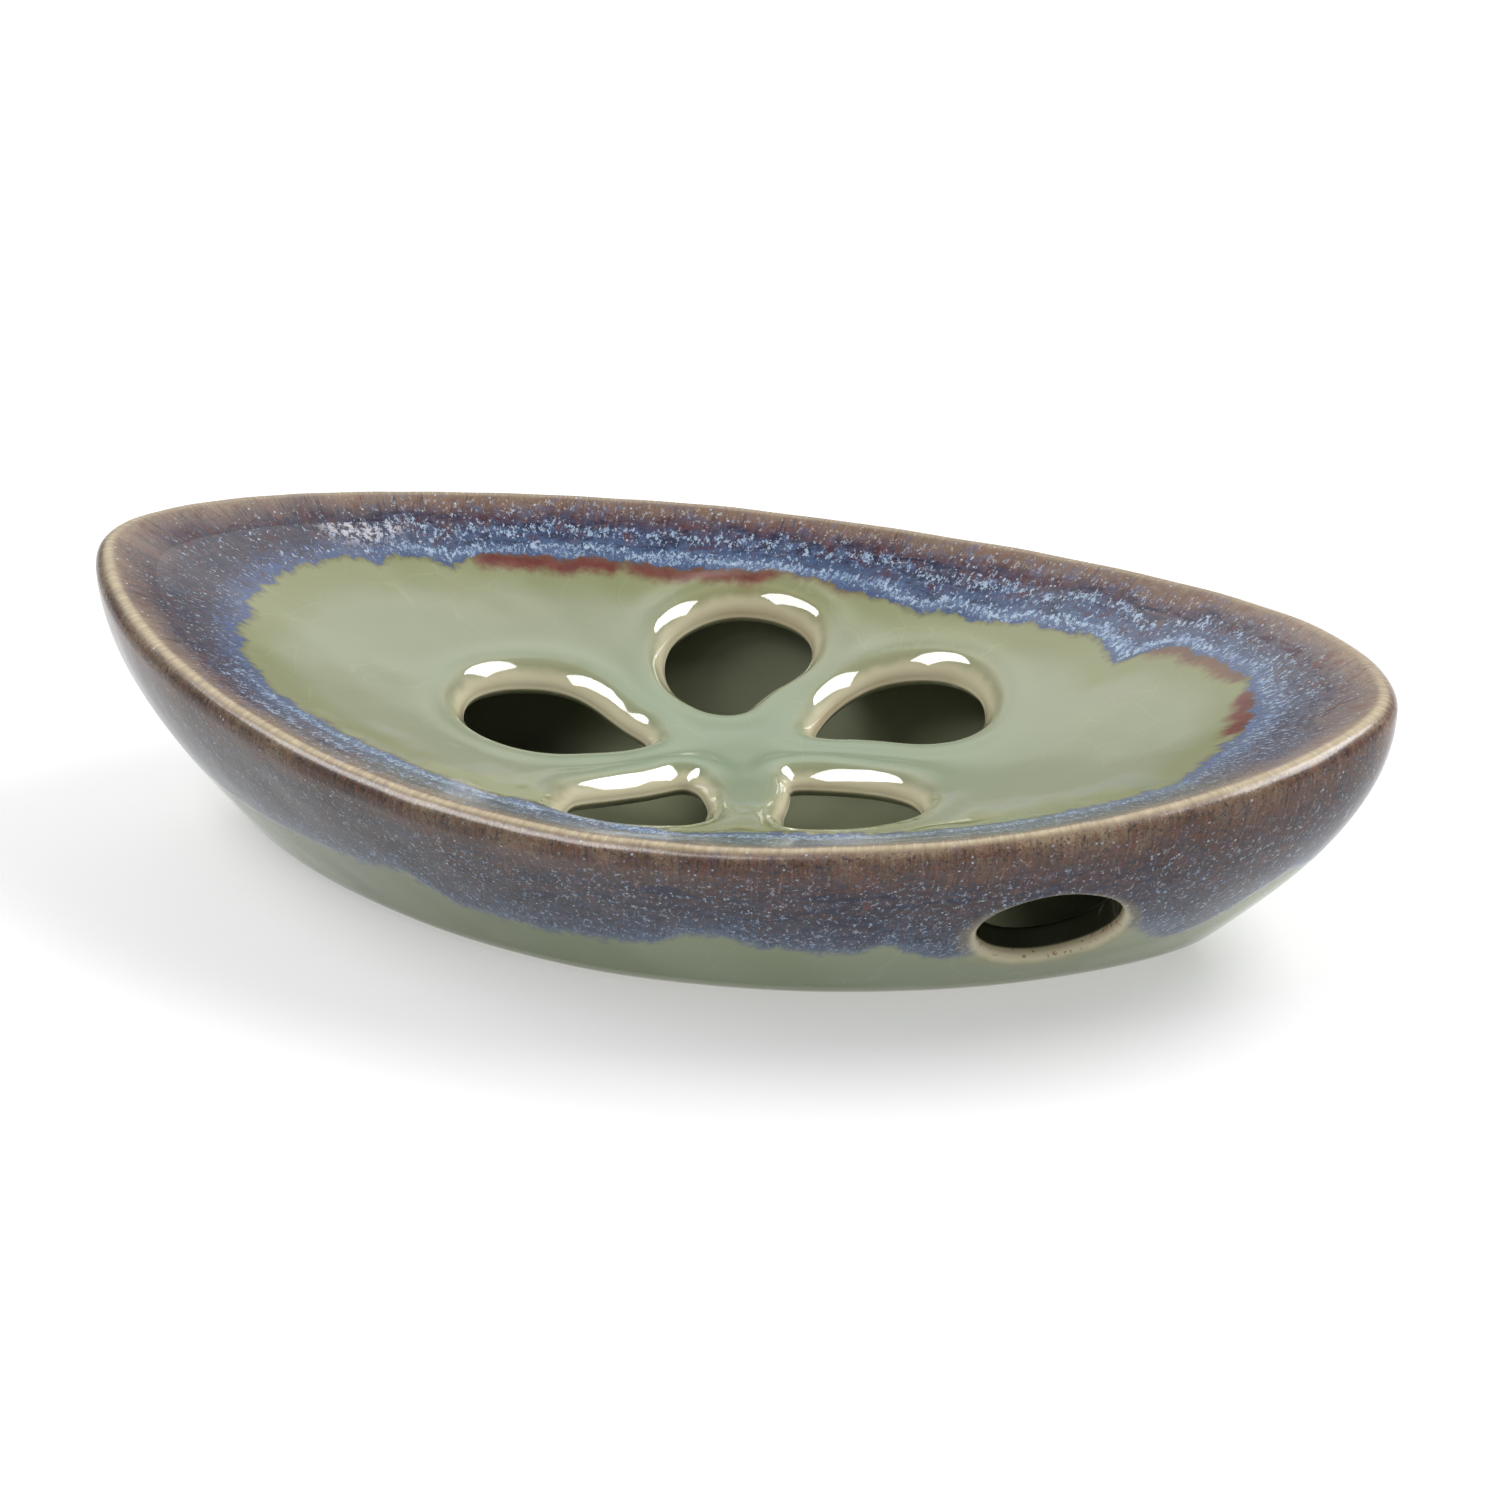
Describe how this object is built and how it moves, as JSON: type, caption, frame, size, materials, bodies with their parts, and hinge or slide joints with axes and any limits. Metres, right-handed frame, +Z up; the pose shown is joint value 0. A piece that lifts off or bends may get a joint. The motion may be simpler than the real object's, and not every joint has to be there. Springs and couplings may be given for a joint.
{
  "type": "flower frog",
  "caption": "Almond-shaped glazed stoneware flower frog: a shallow hollow dish with raised ends, a concave top pierced with petal openings, and a round hole low in the wall.",
  "frame": {"origin": "middle of the object's plan box, on the plane of the flat foot", "axes": "+X along the long axis towards the end with the side hole, +Y across the dish away from the side hole, +Z up"},
  "size_m": [0.158, 0.0936, 0.0341],
  "materials": {
    "glazed_outer": "gloss glaze, rust and mottled blue-violet band over olive green, breaking tan at the rim",
    "glazed_top": "gloss celadon green glaze, cream where it breaks over the petal lips",
    "slip": "matt fired slip under the glaze"
  },
  "bodies": {
    "root": {"lower_bowl": "glazed_outer", "pierced_deck": "glazed_top", "slip_seam": "slip"}
  },
  "joints": []
}
